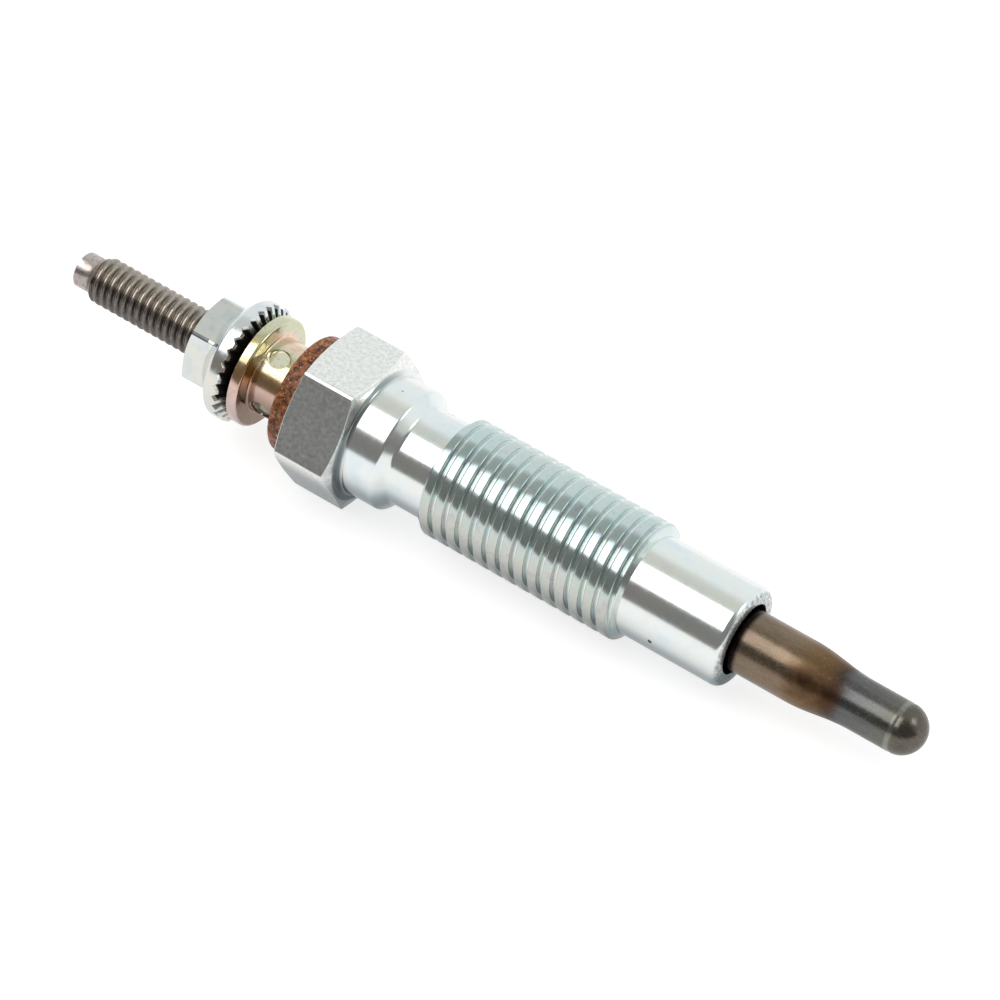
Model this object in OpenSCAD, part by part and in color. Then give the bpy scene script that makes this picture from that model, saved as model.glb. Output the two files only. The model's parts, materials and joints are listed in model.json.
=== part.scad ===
// Diesel glow plug: a threaded steel shell that holds a sheathed heater and an insulated terminal rod.
// The plug lies along X with the heater at +X, and x = 0 is where the collar turns into the taper seat.
// One flat of the hexagon faces down. The two threads are plain at their outside diameters, and the
// terminal thread is drawn at its pitch diameter where it is inside the nut.

/* [Shell] */
// Width of the hexagon across its flats
hex_flats = 12; // [11:0.5:14]
// Width of the hexagon across its rounded corners
hex_corner_d = 13.7; // [13:0.1:16]
// Length of the hexagon along the plug
hex_length = 5.2; // [4.5:0.1:8]
// Diameter of the plain face at each end of the hexagon
hex_face_d = 11.5; // [11:0.1:12]
// Slope of the chamfers on the hexagon's corners
hex_chamfer_angle = 18; // [10:1:30]
// Diameter of the collar behind the taper seat
collar_d = 10.2; // [9.8:0.1:10.5]
// Length of the collar
collar_length = 3.05; // [1.5:0.05:5]
// Radius in the corner between the hexagon and the collar
collar_fillet = 0.4; // [0.1:0.05:0.45]
// Half angle of the taper seat
seat_half_angle = 51; // [30:1:60]
// Diameter of the neck between the seat and the thread
neck_d = 8.25; // [7.8:0.05:9]
// Length of the neck
neck_length = 3.15; // [2:0.05:6]
// Outside diameter of the body thread
thread_d = 9.9; // [9.5:0.1:10]
// Length of the body thread
thread_length = 18.1; // [10:0.05:24]
// Length of the chamfer at each end of the body thread
thread_chamfer = 0.5; // [0.3:0.1:1.2]
// Diameter of the plain barrel
barrel_d = 8.3; // [7.8:0.1:8.6]
// Length of the plain barrel
barrel_length = 8.8; // [7:0.1:14]
// Radius on the barrel's end edge
barrel_edge = 0.6; // [0.1:0.05:0.8]

/* [Bores in the shell] */
// Diameter of the clearance round the sheath in the barrel's mouth
mouth_d = 5.9; // [5.5:0.1:6.2]
// Depth of that clearance
mouth_depth = 6; // [4:0.5:7]
// Length of the land that grips the sheath
grip_length = 10; // [6:0.5:12]
// Diameter of the bore round the rod
rod_bore_d = 5.6; // [5.3:0.1:6]
// Diameter of the counterbore for the bush and its seal
seal_bore_d = 7.9; // [7.4:0.1:8.4]

/* [Heater] */
// Diameter of the sheath where it leaves the shell
sheath_d = 5.1; // [4.8:0.05:5.2]
// Diameter of the heater's tip
tip_d = 4.1; // [3.9:0.05:4.6]
// Wall of the sheath
sheath_wall = 0.6; // [0.4:0.05:0.7]
// Thickness of the sheath's welded end
tip_wall = 1.6; // [1.4:0.1:2.4]
// Length of the full-size sheath outside the shell
sheath_reach = 5.9; // [3:0.1:12]
// Length of the swaged taper
taper_length = 3.4; // [1:0.1:5]
// Length of the tip beyond the taper
tip_length = 6.5; // [5:0.1:12]
// Length of the sheath behind the land that grips it
sheath_tail = 2.4; // [2:0.1:4]
// Length of the rubber packing in the sheath's back end
packing_length = 3; // [1:0.5:4]

/* [Coils] */
// Diameter of the coils' wire
wire_d = 0.36; // [0.3:0.02:0.4]
// Diameter of both coils, from wire centre to wire centre
coil_d = 1.9; // [1.7:0.05:1.95]
// Number of turns of the control coil
control_turns = 12; // [8:1:14]
// Number of turns of the heating coil
heating_turns = 13; // [8:1:14]
// Length of the control coil
control_length = 13; // [10:0.5:16]
// Free space on each side of the wire
coil_clearance = 0.04; // [0.02:0.01:0.06]

/* [Rod] */
// Outside diameter of the terminal thread
terminal_d = 3.95; // [3.8:0.05:4]
// Length of the rod behind the pressing ring
terminal_length = 17.65; // [14:0.05:24]
// Length of the chamfer at the start of the terminal thread
terminal_chamfer = 0.6; // [0.3:0.1:0.8]
// Diameter of the dog point
dog_d = 3; // [2.6:0.1:3.2]
// Length of the dog point
dog_length = 1.5; // [1:0.1:2.5]
// Chamfer on the end of the dog point
dog_edge = 0.15; // [0.1:0.05:0.3]
// Width of the slot across the dog point
slot_width = 0.6; // [0.4:0.1:1]
// Depth of the slot
slot_depth = 0.8; // [0.5:0.1:1.2]
// Turn of the slot about the plug's axis
slot_turn = 119; // [0:1:180]
// Diameter of the rod's shank inside the shell
shank_d = 3; // [2.6:0.1:3.2]
// Length of the shank in the powder, beyond the rubber packing
shank_reach = 3; // [1:0.5:4]
// Length of the end that the control coil grips
spigot_length = 2.5; // [1.5:0.1:4]

/* [Terminal nut] */
// Width of the nut across its flats
nut_flats = 7; // [6.5:0.1:7.4]
// Width of the nut across its rounded corners
nut_corner_d = 7.95; // [7.6:0.05:8.4]
// Height of the nut
nut_height = 4.85; // [4:0.05:6]
// Diameter of the plain face at the back of the nut
nut_face_d = 6.7; // [6:0.1:7]
// Slope of the chamfer on the nut's back corners
nut_chamfer_angle = 25; // [15:1:35]
// Diameter of the nut's flange
flange_d = 10.1; // [9.5:0.1:11]
// Thickness of the flange at its rim
flange_rim = 1.1; // [0.3:0.05:1.4]
// Height of the sloping skirt between the hexagon and the flange
skirt_height = 1.4; // [0.5:0.1:1.6]
// Diameter of the skirt where it runs out inside the hexagon
skirt_d = 6.8; // [6:0.1:7]
// Height of the toothed crown on the bearing face
crown_height = 0.5; // [0.3:0.05:0.9]
// Diameter of the crown's bearing edge
crown_d = 8.4; // [8:0.1:9]
// Number of teeth in the crown
tooth_count = 30; // [12:1:32]
// Depth of the notches between the teeth
tooth_depth = 0.28; // [0.1:0.02:0.3]
// Width of the notches between the teeth
tooth_gap = 0.7; // [0.3:0.05:0.8]
// Pitch diameter of the terminal thread, where the nut and the rod meet
nut_pitch_d = 3.55; // [3.4:0.05:3.7]
// Turn of the nut about the plug's axis
nut_turn = 14; // [0:1:60]
// Free space between the nut and the pressing ring
nut_gap = 0.25; // [0:0.05:2]

/* [Pressing ring] */
// Diameter of the ring's flange
ring_d = 9.3; // [8.6:0.1:10]
// Thickness of the ring's flange
ring_flange = 0.95; // [0.6:0.05:1.4]
// Radius on the flange's front edge
ring_edge = 0.2; // [0.1:0.05:0.3]
// Diameter of the ring's waist
ring_waist_d = 6.4; // [6:0.1:7]
// Length of the ring
ring_length = 4.15; // [3.6:0.05:5]
// Number of crimp marks round the waist
crimp_count = 4; // [3:1:6]
// Diameter of a crimp mark at the surface
crimp_d = 2; // [1.6:0.1:2.4]
// Diameter of the flat at the bottom of a crimp mark
crimp_floor_d = 1.6; // [1:0.1:1.6]
// Depth of a crimp mark
crimp_depth = 0.3; // [0.2:0.05:0.4]
// Distance from the ring's flange to the middle of the crimp marks
crimp_setback = 1.25; // [1.2:0.05:1.6]
// Turn of the crimp marks about the plug's axis
crimp_turn = 17; // [0:1:90]

/* [Insulating bush] */
// Diameter of the bush's flange
bush_d = 10; // [9.5:0.1:10.8]
// Thickness of the bush's flange
bush_flange = 1.8; // [1.2:0.1:3]
// Radius on the flange's back edge
bush_edge = 0.35; // [0.1:0.05:0.5]
// Length of the bush inside the shell
bush_spigot = 1.9; // [1:0.1:2.5]

/* [Fits] */
// Free space between the rod and what is threaded over it
rod_clearance = 0.03; // [0.01:0.01:0.06]
// Free space between the bush and its counterbore
bush_clearance = 0.05; // [0.02:0.01:0.1]
// Free space round the rubber ring
seal_clearance = 0.02; // [0.01:0.01:0.05]

/* [Hidden] */
$fn = 96;
cut = 1;            // how far a cutter runs past the surface that it opens
round_steps = 6;    // flats in a rounded edge
dome_steps = 16;    // flats in the heater's round end
wire_sides = 6;     // sides of a coil's wire
turn_steps = 14;    // straight pieces in one turn of a coil
zinc = [0.80, 0.83, 0.85];
bare_steel = [0.42, 0.40, 0.38];
yellow_zinc = [0.80, 0.68, 0.40];
phenolic = [0.50, 0.26, 0.13];
black_rubber = [0.12, 0.12, 0.12];
tinted_steel = [0.42, 0.36, 0.31];
white_powder = [0.90, 0.89, 0.85];
coil_alloy = [0.66, 0.62, 0.55];

// Stations along the plug, from the seat back to the terminal
hex_front_x = -collar_length;
hex_back_x = hex_front_x - hex_length;
bush_back_x = hex_back_x - bush_flange;
ring_back_x = bush_back_x - ring_length;
nut_front_x = ring_back_x - nut_gap;
nut_back_x = nut_front_x - nut_height;
dog_end_x = ring_back_x - terminal_length;
dog_shoulder_x = dog_end_x + dog_length;

// Stations along the plug, from the seat forward to the tip
neck_x = (collar_d - neck_d) / 2 / tan(seat_half_angle);
thread_x = neck_x + neck_length;
barrel_x = thread_x + thread_length;
face_x = barrel_x + barrel_length;
taper_x = face_x + sheath_reach;
tip_x = taper_x + taper_length;
end_x = tip_x + tip_length;

// Stations inside the shell and the sheath
bush_front_x = hex_back_x + bush_spigot;
seal_half = (seal_bore_d - terminal_d) / 4;
seal_centre_x = bush_front_x + seal_half;
seal_x = seal_centre_x + (sqrt(2) - 1) * seal_half;
rod_bore_x = seal_x + (seal_bore_d - rod_bore_d) / 2;
mouth_x = face_x - mouth_depth;
grip_x = mouth_x - grip_length;
sheath_back_x = grip_x - sheath_tail;
packing_x = sheath_back_x + packing_length;
spigot_x = packing_x + shank_reach;
spigot_end_x = spigot_x + spigot_length;
control_x = spigot_x + wire_d / 2 + coil_clearance;
joint_x = control_x + control_length;
sheath_floor_x = end_x - tip_wall;
heating_x = sheath_floor_x - wire_d / 2 - coil_clearance;

// Radii that pieces share
terminal_hole_r = terminal_d / 2 + rod_clearance;
bore_r = sheath_d / 2 - sheath_wall;
tip_bore_r = tip_d / 2 - sheath_wall;
spigot_r = (coil_d - wire_d) / 2 - coil_clearance;
channel_r = (coil_d + wire_d) / 2 + coil_clearance;
crown_slope = atan2(crown_height, (flange_d - crown_d) / 2);

// An arc in a profile of [radius, station] points. Angle 0 looks along +X and 90 looks outward.
function arc(station, radius, size, from, to, steps) =
    [for (i = [0:steps])
        let (a = from + (to - from) * i / steps)
        [radius + size * sin(a), station + size * cos(a)]];

// A piece turned about the plug's axis
module turned(profile) {
    rotate([0, 90, 0])
        rotate_extrude()
            polygon(profile);
}

// Six slabs that leave a hexagon of the given width, with one flat facing down
module hexagon_cuts(flats, corners, from_x, to_x) {
    for (i = [0:5])
        rotate([60 * i, 0, 0])
            translate([from_x, -corners, flats / 2])
                cube([to_x - from_x, 2 * corners, corners]);
}

// A wire wound along X. It starts at start_turn, and its centre runs from from_x to to_x.
module winding(from_x, to_x, turns, start_turn) {
    rings = ceil(turns * turn_steps);
    points = [for (i = [0:rings], j = [0:wire_sides - 1])
        let (t = i / rings,
             a = 360 * (start_turn + turns * t),
             b = 360 * j / wire_sides,
             r = coil_d / 2 + wire_d / 2 * cos(b))
        [from_x + (to_x - from_x) * t + wire_d / 2 * sin(b), r * cos(a), r * sin(a)]];
    sides = [for (i = [0:rings - 1], j = [0:wire_sides - 1], k = [0:1])
        let (p = i * wire_sides + j,
             q = i * wire_sides + (j + 1) % wire_sides)
        k == 0 ? [p, q, q + wire_sides] : [p, q + wire_sides, p + wire_sides]];
    start = [[for (j = [0:wire_sides - 1]) wire_sides - 1 - j]];
    finish = [[for (j = [0:wire_sides - 1]) rings * wire_sides + j]];
    polyhedron(points, concat(sides, start, finish));
}

module metal_shell() {
    corner_drop = (hex_corner_d - hex_face_d) / 2 * tan(hex_chamfer_angle);
    collar_r = collar_d / 2;
    thread_r = thread_d / 2;
    outside = concat(
        [[0, hex_back_x],
         [hex_face_d / 2, hex_back_x],
         [hex_corner_d / 2, hex_back_x + corner_drop],
         [hex_corner_d / 2, hex_front_x - corner_drop],
         [hex_face_d / 2, hex_front_x]],
        arc(hex_front_x + collar_fillet, collar_r + collar_fillet, collar_fillet, 180, 270, round_steps),
        [[collar_r, 0],
         [neck_d / 2, neck_x],
         [neck_d / 2, thread_x],
         [thread_r, thread_x + thread_chamfer],
         [thread_r, barrel_x - thread_chamfer],
         [barrel_d / 2, barrel_x]],
        arc(face_x - barrel_edge, barrel_d / 2 - barrel_edge, barrel_edge, 90, 0, round_steps),
        [[0, face_x]]);
    bore = [
        [0, hex_back_x - cut],
        [seal_bore_d / 2, hex_back_x - cut],
        [seal_bore_d / 2, seal_x],
        [rod_bore_d / 2, rod_bore_x],
        [rod_bore_d / 2, grip_x],
        [sheath_d / 2, grip_x],
        [sheath_d / 2, mouth_x],
        [mouth_d / 2, mouth_x],
        [mouth_d / 2, face_x + cut],
        [0, face_x + cut]];
    color(zinc)
        difference() {
            turned(outside);
            hexagon_cuts(hex_flats, hex_corner_d, hex_back_x - cut, hex_front_x);
            turned(bore);
        }
}

module centre_rod() {
    terminal_r = terminal_d / 2;
    body = [
        [0, dog_end_x],
        [dog_d / 2 - dog_edge, dog_end_x],
        [dog_d / 2, dog_end_x + dog_edge],
        [dog_d / 2, dog_shoulder_x],
        [terminal_r, dog_shoulder_x + terminal_chamfer],
        [terminal_r, nut_back_x],
        [nut_pitch_d / 2, nut_back_x],
        [nut_pitch_d / 2, nut_front_x],
        [terminal_r, nut_front_x],
        [terminal_r, rod_bore_x],
        [shank_d / 2, rod_bore_x + terminal_r - shank_d / 2],
        [shank_d / 2, spigot_x],
        [spigot_r, spigot_x],
        [spigot_r, spigot_end_x],
        [0, spigot_end_x]];
    color(bare_steel)
        difference() {
            turned(body);
            rotate([slot_turn, 0, 0])
                translate([dog_end_x - cut, -dog_d, -slot_width / 2])
                    cube([cut + slot_depth, 2 * dog_d, slot_width]);
        }
}

module terminal_nut() {
    rim_front_x = nut_front_x - crown_height;
    rim_back_x = rim_front_x - flange_rim;
    skirt_back_x = rim_back_x - skirt_height;
    corner_r = nut_corner_d / 2;
    corner_drop = (nut_corner_d - nut_face_d) / 2 * tan(nut_chamfer_angle);
    hole_r = nut_pitch_d / 2 + rod_clearance;
    hexagon = [
        [0, nut_back_x],
        [nut_face_d / 2, nut_back_x],
        [corner_r, nut_back_x + corner_drop],
        [corner_r, rim_back_x],
        [0, rim_back_x]];
    flange = [
        [0, skirt_back_x],
        [skirt_d / 2, skirt_back_x],
        [flange_d / 2, rim_back_x],
        [flange_d / 2, rim_front_x],
        [crown_d / 2, nut_front_x],
        [0, nut_front_x]];
    color(zinc)
        difference() {
            union() {
                difference() {
                    turned(hexagon);
                    rotate([nut_turn, 0, 0])
                        hexagon_cuts(nut_flats, nut_corner_d, nut_back_x - cut, rim_back_x + cut);
                }
                turned(flange);
            }
            turned([
                [0, nut_back_x - cut],
                [hole_r, nut_back_x - cut],
                [hole_r, nut_front_x + cut],
                [0, nut_front_x + cut]]);
            crown_notches(rim_front_x);
        }
}

// V notches that run down the sloping face of the nut's crown, as deep again above the face as below it
module crown_notches(rim_x) {
    run = norm([crown_height, (flange_d - crown_d) / 2]);
    for (i = [0:tooth_count - 1])
        rotate([360 * i / tooth_count, 0, 0])
            translate([rim_x, 0, flange_d / 2])
                rotate([0, 180 - crown_slope, 0])
                    translate([0, 0, -cut])
                        linear_extrude(run + 2 * cut)
                            polygon([[tooth_depth, 0], [-tooth_depth, tooth_gap], [-tooth_depth, -tooth_gap]]);
}

module pressing_ring() {
    flange_front_x = ring_back_x + ring_flange;
    waist_r = ring_waist_d / 2;
    body = concat(
        [[terminal_hole_r, ring_back_x],
         [ring_d / 2 - ring_edge / 2, ring_back_x],
         [ring_d / 2, ring_back_x + ring_edge / 2]],
        arc(flange_front_x - ring_edge, ring_d / 2 - ring_edge, ring_edge, 90, 0, round_steps),
        arc(flange_front_x + ring_edge, waist_r + ring_edge, ring_edge, 180, 270, round_steps),
        [[waist_r, bush_back_x],
         [terminal_hole_r, bush_back_x]]);
    crimp_x = flange_front_x + crimp_setback;
    color(yellow_zinc)
        difference() {
            turned(body);
            for (i = [0:crimp_count - 1])
                rotate([crimp_turn + 360 * i / crimp_count, 0, 0])
                    translate([crimp_x, waist_r - crimp_depth, 0])
                        rotate([-90, 0, 0])
                            cylinder(h = 2 * crimp_depth, d1 = crimp_floor_d, d2 = 2 * crimp_d - crimp_floor_d);
        }
}

module insulating_bush() {
    plug_r = seal_bore_d / 2 - bush_clearance;
    color(phenolic)
        turned(concat(
            [[terminal_hole_r, bush_back_x]],
            arc(bush_back_x + bush_edge, bush_d / 2 - bush_edge, bush_edge, 180, 90, round_steps),
            [[bush_d / 2, hex_back_x],
             [plug_r, hex_back_x],
             [plug_r, bush_front_x],
             [terminal_hole_r, bush_front_x]]));
}

// The rubber ring fills the space between the rod, the counterbore, its 45 degree floor and the bush
module o_ring() {
    color(black_rubber)
        translate([seal_centre_x, 0, 0])
            rotate([0, 90, 0])
                rotate_extrude()
                    translate([terminal_d / 2 + seal_half, 0])
                        circle(r = seal_half - seal_clearance);
}

module sheath_tube() {
    tip_r = tip_d / 2;
    color(tinted_steel)
        turned(concat(
            [[bore_r, sheath_back_x],
             [sheath_d / 2, sheath_back_x],
             [sheath_d / 2, taper_x],
             [tip_r, tip_x]],
            arc(end_x - tip_r, 0, tip_r, 90, 0, dome_steps),
            [[0, sheath_floor_x],
             [tip_bore_r, sheath_floor_x],
             [tip_bore_r, tip_x],
             [bore_r, taper_x]]));
}

module tube_seal() {
    color(black_rubber)
        turned([
            [shank_d / 2, sheath_back_x],
            [bore_r, sheath_back_x],
            [bore_r, packing_x],
            [shank_d / 2, packing_x]]);
}

// The powder is a jacket outside the coils and a core inside them, with a plain channel for the wire between
module insulating_powder() {
    color(white_powder) {
        turned([
            [shank_d / 2, packing_x],
            [bore_r, packing_x],
            [bore_r, taper_x],
            [tip_bore_r, tip_x],
            [tip_bore_r, sheath_floor_x],
            [channel_r, sheath_floor_x],
            [channel_r, spigot_x],
            [shank_d / 2, spigot_x]]);
        turned([
            [0, spigot_end_x],
            [spigot_r, spigot_end_x],
            [spigot_r, sheath_floor_x],
            [0, sheath_floor_x]]);
    }
}

module control_coil() {
    color(coil_alloy)
        winding(control_x, joint_x, control_turns, 0);
}

module heating_coil() {
    color(coil_alloy)
        winding(joint_x, heating_x, heating_turns, control_turns);
}

metal_shell();
centre_rod();
terminal_nut();
pressing_ring();
insulating_bush();
o_ring();
sheath_tube();
tube_seal();
insulating_powder();
control_coil();
heating_coil();
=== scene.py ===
"""A diesel glow plug: its turned, threaded and moulded pieces, their finishes and a small studio."""

import json
import math

import bmesh
import bpy
from mathutils import Matrix, Vector


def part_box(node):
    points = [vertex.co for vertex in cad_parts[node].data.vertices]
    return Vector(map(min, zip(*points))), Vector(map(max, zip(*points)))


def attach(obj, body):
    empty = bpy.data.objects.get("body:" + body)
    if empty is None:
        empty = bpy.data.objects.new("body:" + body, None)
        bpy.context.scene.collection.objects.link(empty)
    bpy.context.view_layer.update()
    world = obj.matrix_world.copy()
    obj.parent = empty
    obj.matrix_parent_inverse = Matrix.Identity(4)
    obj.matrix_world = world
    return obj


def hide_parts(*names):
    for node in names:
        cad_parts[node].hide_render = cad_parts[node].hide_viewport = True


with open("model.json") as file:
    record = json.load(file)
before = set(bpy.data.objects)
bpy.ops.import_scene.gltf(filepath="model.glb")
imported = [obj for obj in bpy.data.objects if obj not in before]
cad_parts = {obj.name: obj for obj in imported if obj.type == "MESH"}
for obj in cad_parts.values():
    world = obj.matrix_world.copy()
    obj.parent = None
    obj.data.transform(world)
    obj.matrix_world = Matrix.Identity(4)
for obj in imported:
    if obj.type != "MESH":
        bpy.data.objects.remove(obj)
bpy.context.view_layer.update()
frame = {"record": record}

MM = 0.001

# Stations along the plug and radii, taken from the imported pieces
SHELL_LO, SHELL_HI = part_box("metal_shell")
ROD_LO, ROD_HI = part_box("centre_rod")
NUT_LO, NUT_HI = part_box("terminal_nut")
RING_LO, RING_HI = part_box("pressing_ring")
BUSH_LO, BUSH_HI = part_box("insulating_bush")
SHEATH_LO, SHEATH_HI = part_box("sheath_tube")
MOUNTS = {mount["name"]: mount for mount in frame["record"]["mounts"]}

# Sides of a turned surface, and the distance within which two points are one
SIDES = 96
SAME = 1e-6


def clear_selection():
    """Back to object mode with nothing selected, so that the next operator acts on the new piece alone."""
    if bpy.context.mode != "OBJECT":
        bpy.ops.object.mode_set(mode="OBJECT")
    bpy.ops.object.select_all(action="DESELECT")


def take_up(piece):
    """Select one piece alone, for the operators that follow."""
    clear_selection()
    piece.select_set(True)
    bpy.context.view_layer.objects.active = piece


def name_piece(name):
    """Name the new primitive, put its place into its mesh and open it for editing, all selected."""
    piece = bpy.context.object
    piece.name = piece.data.name = name
    bpy.ops.object.transform_apply(location=True, rotation=True, scale=True)
    bpy.ops.object.mode_set(mode="EDIT")
    bpy.ops.mesh.select_mode(type="VERT")
    bpy.ops.mesh.select_all(action="SELECT")
    return piece


def start_ring(name, station, radius, sides=SIDES, solid=False):
    """A ring round the plug's axis to draw a turned piece out of, or a disc where it has no bore."""
    clear_selection()
    bpy.ops.mesh.primitive_circle_add(
        vertices=sides,
        radius=radius,
        fill_type="NGON" if solid else "NOTHING",
        location=(station, 0, 0),
        rotation=(0, math.pi / 2, 0),
    )
    return name_piece(name)


def draw_out(start, profile):
    """Extrude the selected ring or disc through the stations and radii of a turned profile."""
    station, radius = start
    for next_station, next_radius in profile:
        bpy.ops.mesh.extrude_region_move(TRANSFORM_OT_translate={"value": (next_station - station, 0, 0)})
        ratio = next_radius / radius
        bpy.ops.transform.resize(value=(1, ratio, ratio), center_override=(0, 0, 0))
        station, radius = next_station, next_radius


def look_over(kind):
    """The mesh in hand with nothing selected, to pick its points, edges or faces."""
    bpy.ops.mesh.select_mode(type=kind)
    bpy.ops.mesh.select_all(action="DESELECT")
    return bmesh.from_edit_mesh(bpy.context.object.data)


def pick(test, kind="EDGE", open_only=False):
    """Select the edges whose two ends, or the points which, pass a test of their station and radius."""
    mesh = look_over(kind)
    for vertex in mesh.verts:
        vertex.tag = test(vertex.co.x, math.hypot(vertex.co.y, vertex.co.z))
        if kind == "VERT":
            vertex.select_set(vertex.tag)
    for edge in mesh.edges:
        if kind == "EDGE" and all(vertex.tag for vertex in edge.verts):
            edge.select_set(edge.is_boundary or not open_only)
    bmesh.update_edit_mesh(bpy.context.object.data)


def pick_ring(station, radius):
    """Select the ring of edges at one station and radius."""
    pick(lambda x, r: abs(x - station) < 2 * SAME and abs(r - radius) < 4 * SAME)


def round_ring(station, radius, size, segments):
    """Round the edge at one station and radius of a turned piece."""
    pick_ring(station, radius)
    bpy.ops.mesh.bevel(offset=size, offset_type="OFFSET", segments=segments, profile=0.5, affect="EDGES")


def close_mesh():
    """Merge seams and poles, and turn every face outwards."""
    bpy.ops.mesh.select_all(action="SELECT")
    bpy.ops.mesh.remove_doubles(threshold=SAME)
    bpy.ops.mesh.normals_make_consistent(inside=False)


def flat_directions(turn):
    """The outward directions of a hexagon's six flats."""
    angles = [math.radians(turn + 60 * side) for side in range(6)]
    return [Vector((0, math.cos(angle), math.sin(angle))) for angle in angles]


def cut_flats(across, turn):
    """Cut a hexagon's six flats on the turned blank."""
    for outward in flat_directions(turn):
        bpy.ops.mesh.select_all(action="SELECT")
        bpy.ops.mesh.bisect(
            plane_co=outward * across / 2,
            plane_no=outward,
            use_fill=True,
            clear_outer=True,
            threshold=SAME / 10,
        )


def pick_flats(across, turn):
    """Select the outlines of a hexagon's six flats."""
    mesh = look_over("FACE")
    mesh.normal_update()
    directions = flat_directions(turn)
    for face in mesh.faces:
        middle = face.calc_center_median()
        for outward in directions:
            level = abs(face.normal.dot(outward)) > 0.9999
            if level and abs(middle.dot(outward) - across / 2) < 5 * SAME:
                face.select_set(True)
    bmesh.update_edit_mesh(bpy.context.object.data)
    bpy.ops.mesh.region_to_loop()


def soften_flats(across, turn, size):
    """Merge the short steps along the flats' outlines, then break their sharp edges."""
    pick_flats(across, turn)
    bpy.ops.mesh.remove_doubles(threshold=size)
    pick_flats(across, turn)
    bpy.ops.mesh.bevel(offset=size, segments=3, profile=0.5, affect="EDGES")


def finish_piece(piece, node, material, smooth_angle=32):
    """Shade the piece, hang it on the plug's one body in its solid's place and give it its finish."""
    take_up(piece)
    bpy.ops.object.shade_smooth_by_angle(angle=math.radians(smooth_angle))
    weighted = piece.modifiers.new("even shading", "WEIGHTED_NORMAL")
    weighted.keep_sharp = True
    bpy.ops.object.modifier_apply(modifier=weighted.name)
    piece.data.materials.clear()
    piece.data.materials.append(material)
    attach(piece, "root")
    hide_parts(node)


def combine(piece, tool, operation):
    """Join a helper solid to a piece, or cut it away, and remove the helper."""
    take_up(piece)
    step = piece.modifiers.new("combine", "BOOLEAN")
    step.operation = operation
    step.solver = "MANIFOLD"
    step.object = tool
    bpy.ops.object.modifier_apply(modifier=step.name)
    bpy.data.objects.remove(tool)


def join_thread(piece, thread, stations, land):
    """Join a wound thread to a turned piece that ends just short of it, and close the land between."""
    take_up(piece)
    thread.select_set(True)
    bpy.ops.object.join()
    bpy.ops.object.mode_set(mode="EDIT")
    for place in stations:
        pick(lambda x, r: abs(x - place) < 1.5 * land, open_only=True)
        bpy.ops.mesh.bridge_edge_loops()
    close_mesh()


# The two threads

def wind_thread(name, start, crest_r, form, turns, sides):
    """A bare thread: one pitch of its outline, from one root's middle to the next, wound along the plug."""
    flank = (form["pitch"] - form["crest"] - form["root"]) / 2
    outline = [
        (form["root"] / 2, 0),
        (flank, form["depth"]),
        (form["crest"], 0),
        (flank, -form["depth"]),
        (form["root"] / 2, 0),
    ]
    clear_selection()
    bpy.ops.mesh.primitive_plane_add(size=form["pitch"], location=(start, crest_r - form["depth"], 0))
    piece = name_piece(name)
    bpy.ops.mesh.merge(type="CENTER")
    for along, out in outline:
        bpy.ops.mesh.extrude_region_move(TRANSFORM_OT_translate={"value": (along, out, 0)})
    pick(lambda x, r: start + SAME < x < start + form["pitch"] - SAME, "VERT")
    bpy.ops.mesh.bevel(offset=form["soften"], segments=3, affect="VERTICES")
    bpy.ops.mesh.select_all(action="SELECT")
    bpy.ops.mesh.subdivide(number_cuts=1)
    bpy.ops.object.mode_set(mode="OBJECT")
    winding = piece.modifiers.new("winding", "SCREW")
    winding.axis = "X"
    winding.angle = 2 * math.pi
    winding.screw_offset = form["pitch"]
    winding.iterations = turns
    winding.steps = winding.render_steps = sides
    winding.use_merge_vertices = False
    bpy.ops.object.modifier_apply(modifier=winding.name)
    return piece


def trim_thread(piece, limit):
    """Turn a thread's ends down: no point stays further out than the limit at its station."""
    for vertex in piece.data.vertices:
        x, y, z = vertex.co
        keep = min(1, limit(x) / math.hypot(y, z))
        vertex.co = (x, y * keep, z * keep)


def square_ends(start, end):
    """Merge the thread's turns and cut it square at two stations."""
    bpy.ops.object.mode_set(mode="EDIT")
    bpy.ops.mesh.select_all(action="SELECT")
    bpy.ops.mesh.remove_doubles(threshold=SAME)
    for station, inner in ((start, True), (end, False)):
        bpy.ops.mesh.select_all(action="SELECT")
        bpy.ops.mesh.bisect(
            plane_co=(station, 0, 0),
            plane_no=(1, 0, 0),
            clear_inner=inner,
            clear_outer=not inner,
            threshold=SAME / 10,
        )


# The shell

HEX_FLATS = SHELL_HI.z - SHELL_LO.z
HEX_CORNER_R = SHELL_HI.y
HEX_BACK = SHELL_LO.x
HEX_FRONT = HEX_BACK + 5.2 * MM
HEX_TURN = 30
HEX_EDGE = 0.07 * MM
HEX_FACE_R = 5.75 * MM
HEX_CHAMFER = math.radians(18)
HEX_DROP = (HEX_CORNER_R - HEX_FACE_R) * math.tan(HEX_CHAMFER)
COLLAR_R = 5.1 * MM
COLLAR_FILLET = 0.4 * MM
SEAT = 0.0
SEAT_EDGE = 0.15 * MM
SEAT_ANGLE = math.radians(51)
NECK_R = 4.125 * MM
NECK = SEAT + (COLLAR_R - NECK_R) / math.tan(SEAT_ANGLE)
NECK_FILLET = 0.2 * MM
BARREL_R = 4.15 * MM
FACE = SHELL_HI.x
THREAD_R = MOUNTS["body_thread"]["dims"]["r_mm"] * MM
THREAD_CHAMFER = 0.5 * MM
THREAD_MIDDLE = MOUNTS["body_thread"]["pos_m"][0]
THREAD_HALF = MOUNTS["body_thread"]["dims"]["length_mm"] * MM / 2
THREAD = THREAD_MIDDLE - THREAD_HALF - THREAD_CHAMFER
BARREL = THREAD_MIDDLE + THREAD_HALF + THREAD_CHAMFER
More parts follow.
